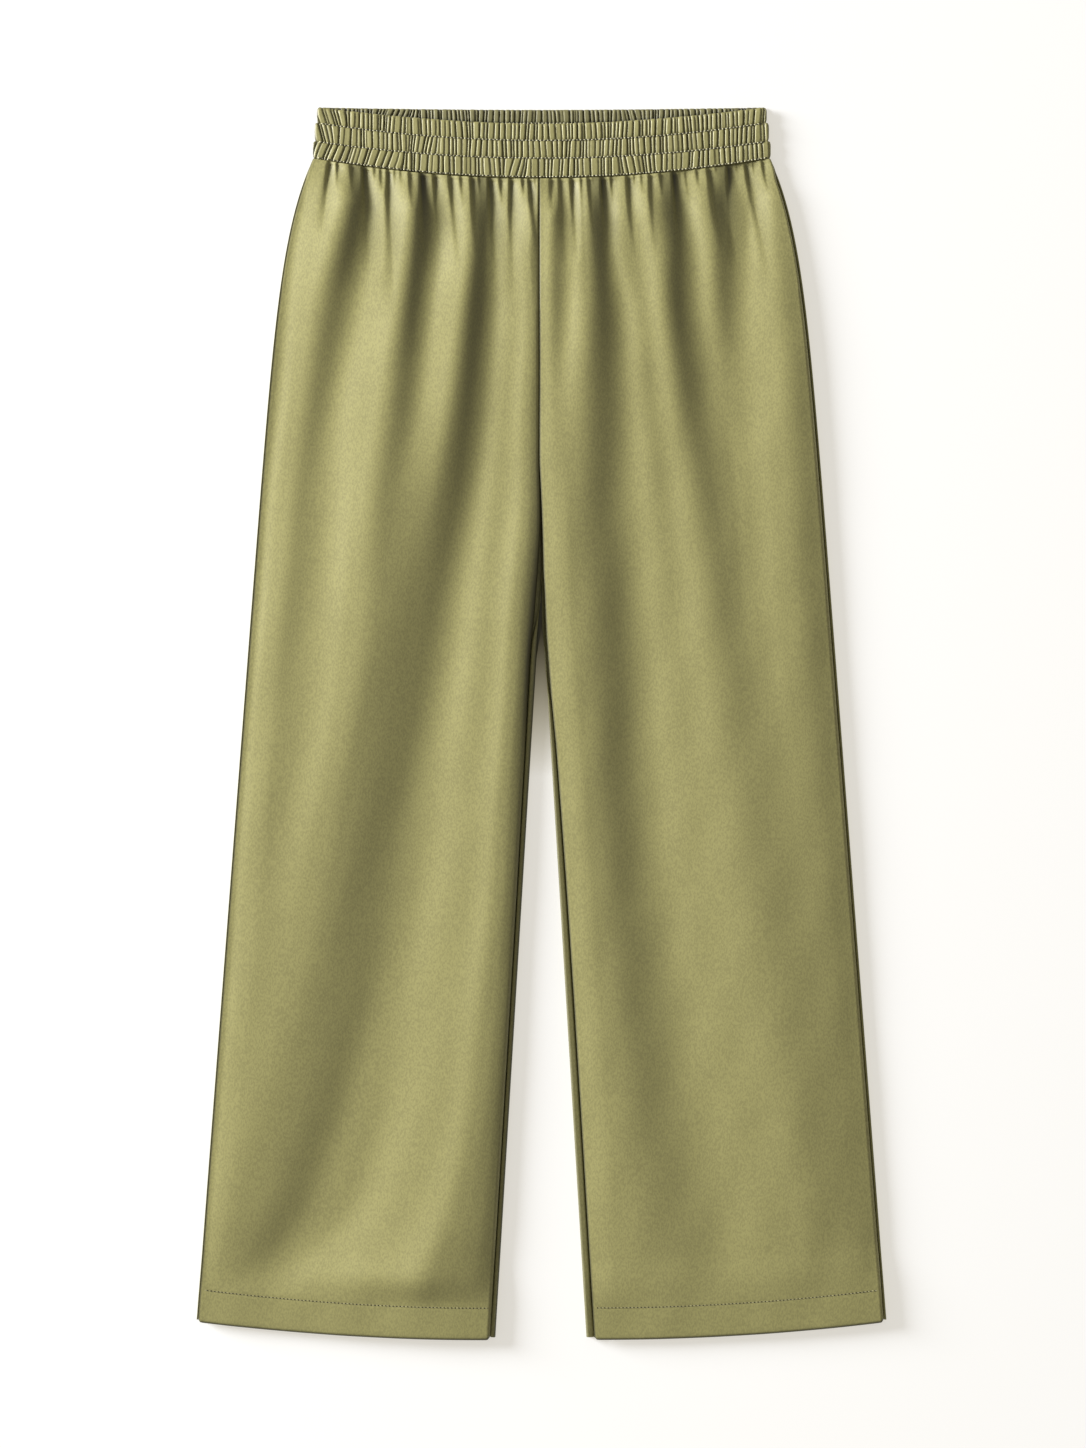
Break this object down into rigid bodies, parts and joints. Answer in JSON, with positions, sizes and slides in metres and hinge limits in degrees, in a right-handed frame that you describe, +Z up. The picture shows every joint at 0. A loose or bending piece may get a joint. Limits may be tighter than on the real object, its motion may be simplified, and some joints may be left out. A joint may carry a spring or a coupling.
{
  "type": "pull-on wide-leg trousers",
  "caption": "Pull-on wide-leg satin trousers laid flat, with an elasticated waistband stitched into channels, gathers, soft folds and turned-up hems.",
  "frame": {"origin": "on the surface that the trousers lie on, under the middle of their bounding box", "axes": "+Y runs from the hems to the waist, +Z points up from the surface, out of the front of the trousers, and +X is on the right when looking down at the front, towards the wearer's left leg"},
  "size_m": [0.5856, 1.047, 0.01],
  "materials": {
    "satin_front": "olive satin, right side, soft sheen",
    "satin_back": "olive satin, right side, soft sheen",
    "satin_band": "olive satin gathered over elastic",
    "satin_turn_up": "olive satin, duller wrong side"
  },
  "bodies": {
    "root": {"waistband_front": "satin_band", "waistband_back": "satin_band", "front_right": "satin_front", "front_left": "satin_front", "back_right": "satin_back", "back_left": "satin_back", "hem_front_right": "satin_turn_up", "hem_front_left": "satin_turn_up", "hem_back_right": "satin_turn_up", "hem_back_left": "satin_turn_up"}
  },
  "joints": []
}
